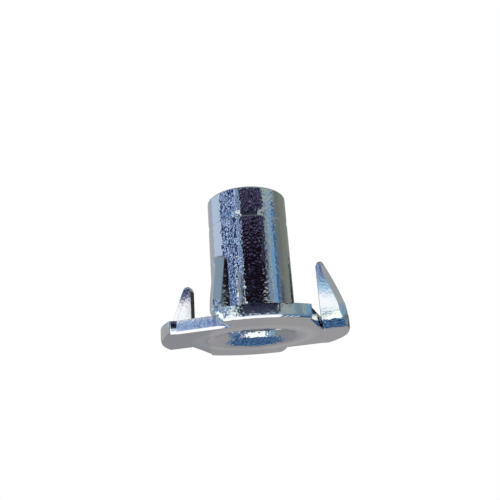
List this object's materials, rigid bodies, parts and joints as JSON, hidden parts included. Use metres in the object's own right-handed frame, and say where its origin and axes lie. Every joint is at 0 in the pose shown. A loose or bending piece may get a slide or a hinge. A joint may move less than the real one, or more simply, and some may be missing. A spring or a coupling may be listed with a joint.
{
  "type": "tee nut",
  "caption": "Pronged tee nut for wood: a threaded barrel drawn up from a round steel flange, whose rim is lanced and folded up into pointed prongs.",
  "frame": {"origin": "centre of the flange's underside, on the barrel's axis", "axes": "+Z along the barrel from the flange to its open end; +X along one of the prongs' fold lines"},
  "size_m": [0.018, 0.018, 0.0143],
  "materials": {
    "zinc_plate": "bright zinc-plated steel sheet"
  },
  "bodies": {
    "root": {"tee_nut": "zinc_plate"}
  },
  "joints": []
}
